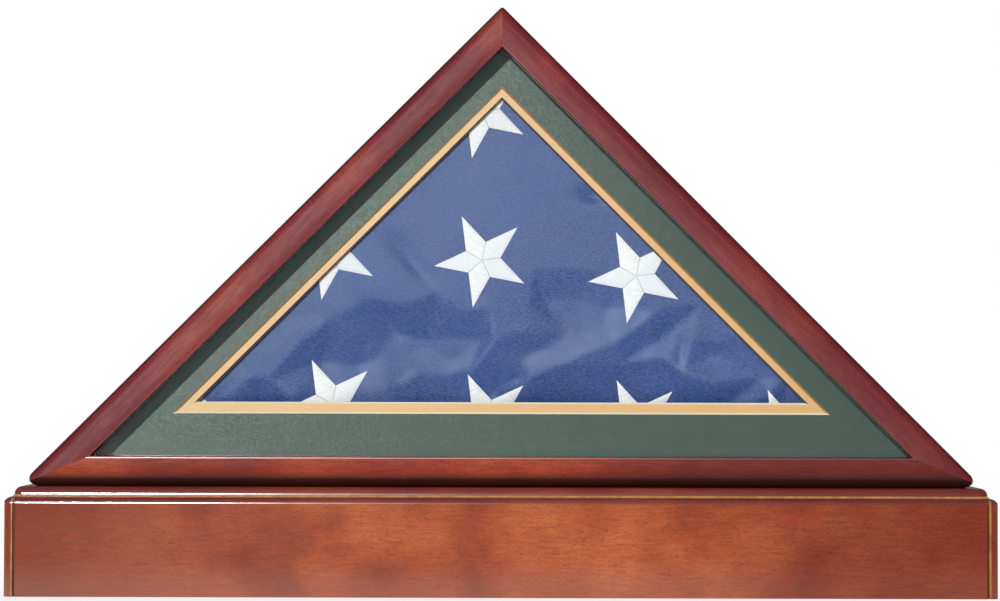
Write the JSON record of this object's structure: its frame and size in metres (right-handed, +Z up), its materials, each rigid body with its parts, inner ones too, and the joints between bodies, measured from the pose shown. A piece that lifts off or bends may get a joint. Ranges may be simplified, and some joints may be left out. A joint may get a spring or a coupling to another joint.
{
  "type": "folded flag display case",
  "caption": "Triangular glazed hardwood case that shows a folded flag behind a double mat, lifting off a rectangular moulded pedestal, with a hinged back door.",
  "frame": {"origin": "under the middle of the pedestal, on the surface it stands on", "axes": "+X to the right along the front, +Y to the back, +Z up; the glass faces -Y"},
  "size_m": [0.672, 0.13, 0.4028],
  "materials": {
    "cherry_finish_wood": "red-brown stain under a clear gloss lacquer",
    "door_wood": "dark stained thin panel, satin",
    "plain_wood": "unfinished light wood",
    "dowel_wood": "unfinished beech",
    "clear_glass": "flat polished pane",
    "green_lining": "dark green matte board",
    "green_mat_board": "dark green matte board",
    "gold_mat_board": "satin gold board",
    "flag_cloth": "blue woven cloth with embroidered white stars",
    "hinge_brass": "satin brass",
    "plated_steel": "nickel plated",
    "screw_steel": "zinc plated"
  },
  "bodies": {
    "base": {"base_front_board": "cherry_finish_wood", "base_back_board": "cherry_finish_wood", "base_left_board": "cherry_finish_wood", "base_right_board": "cherry_finish_wood", "base_top_board": "cherry_finish_wood", "base_bottom_panel": "plain_wood", "front_left_corner_block": "plain_wood", "front_right_corner_block": "plain_wood", "back_left_corner_block": "plain_wood", "back_right_corner_block": "plain_wood", "bottom_panel_screws": "screw_steel", "left_locating_dowel": "dowel_wood", "right_locating_dowel": "dowel_wood"},
    "case": {"left_rail": "cherry_finish_wood", "right_rail": "cherry_finish_wood", "bottom_rail": "cherry_finish_wood", "left_spline": "dowel_wood", "right_spline": "dowel_wood", "apex_spline": "dowel_wood", "glass_pane": "clear_glass", "left_liner": "green_lining", "right_liner": "green_lining", "bottom_liner": "green_lining", "green_mat": "green_mat_board", "gold_mat": "gold_mat_board", "folded_flag": "flag_cloth", "left_catch_magnet": "plated_steel", "right_catch_magnet": "plated_steel", "left_hinge_case_leaf": "hinge_brass", "right_hinge_case_leaf": "hinge_brass", "left_hinge_pin": "hinge_brass", "right_hinge_pin": "hinge_brass", "case_leaf_screws": "hinge_brass"},
    "door": {"back_door": "door_wood", "left_hinge_door_leaf": "hinge_brass", "right_hinge_door_leaf": "hinge_brass", "door_leaf_screws": "hinge_brass", "left_strike_plate": "plated_steel", "right_strike_plate": "plated_steel", "door_knob": "hinge_brass", "knob_screw": "plated_steel"}
  },
  "joints": [
    {"name": "case_lift", "type": "slide", "parent": "base", "child": "case", "axis": [0, 0, 1], "range_m": [0, 0.05]},
    {"name": "back_door_hinge", "type": "hinge", "parent": "case", "child": "door", "pos_m": [0, 0.048, 0.0846], "axis": [-1, 0, 0], "range_deg": [0, 100]}
  ]
}
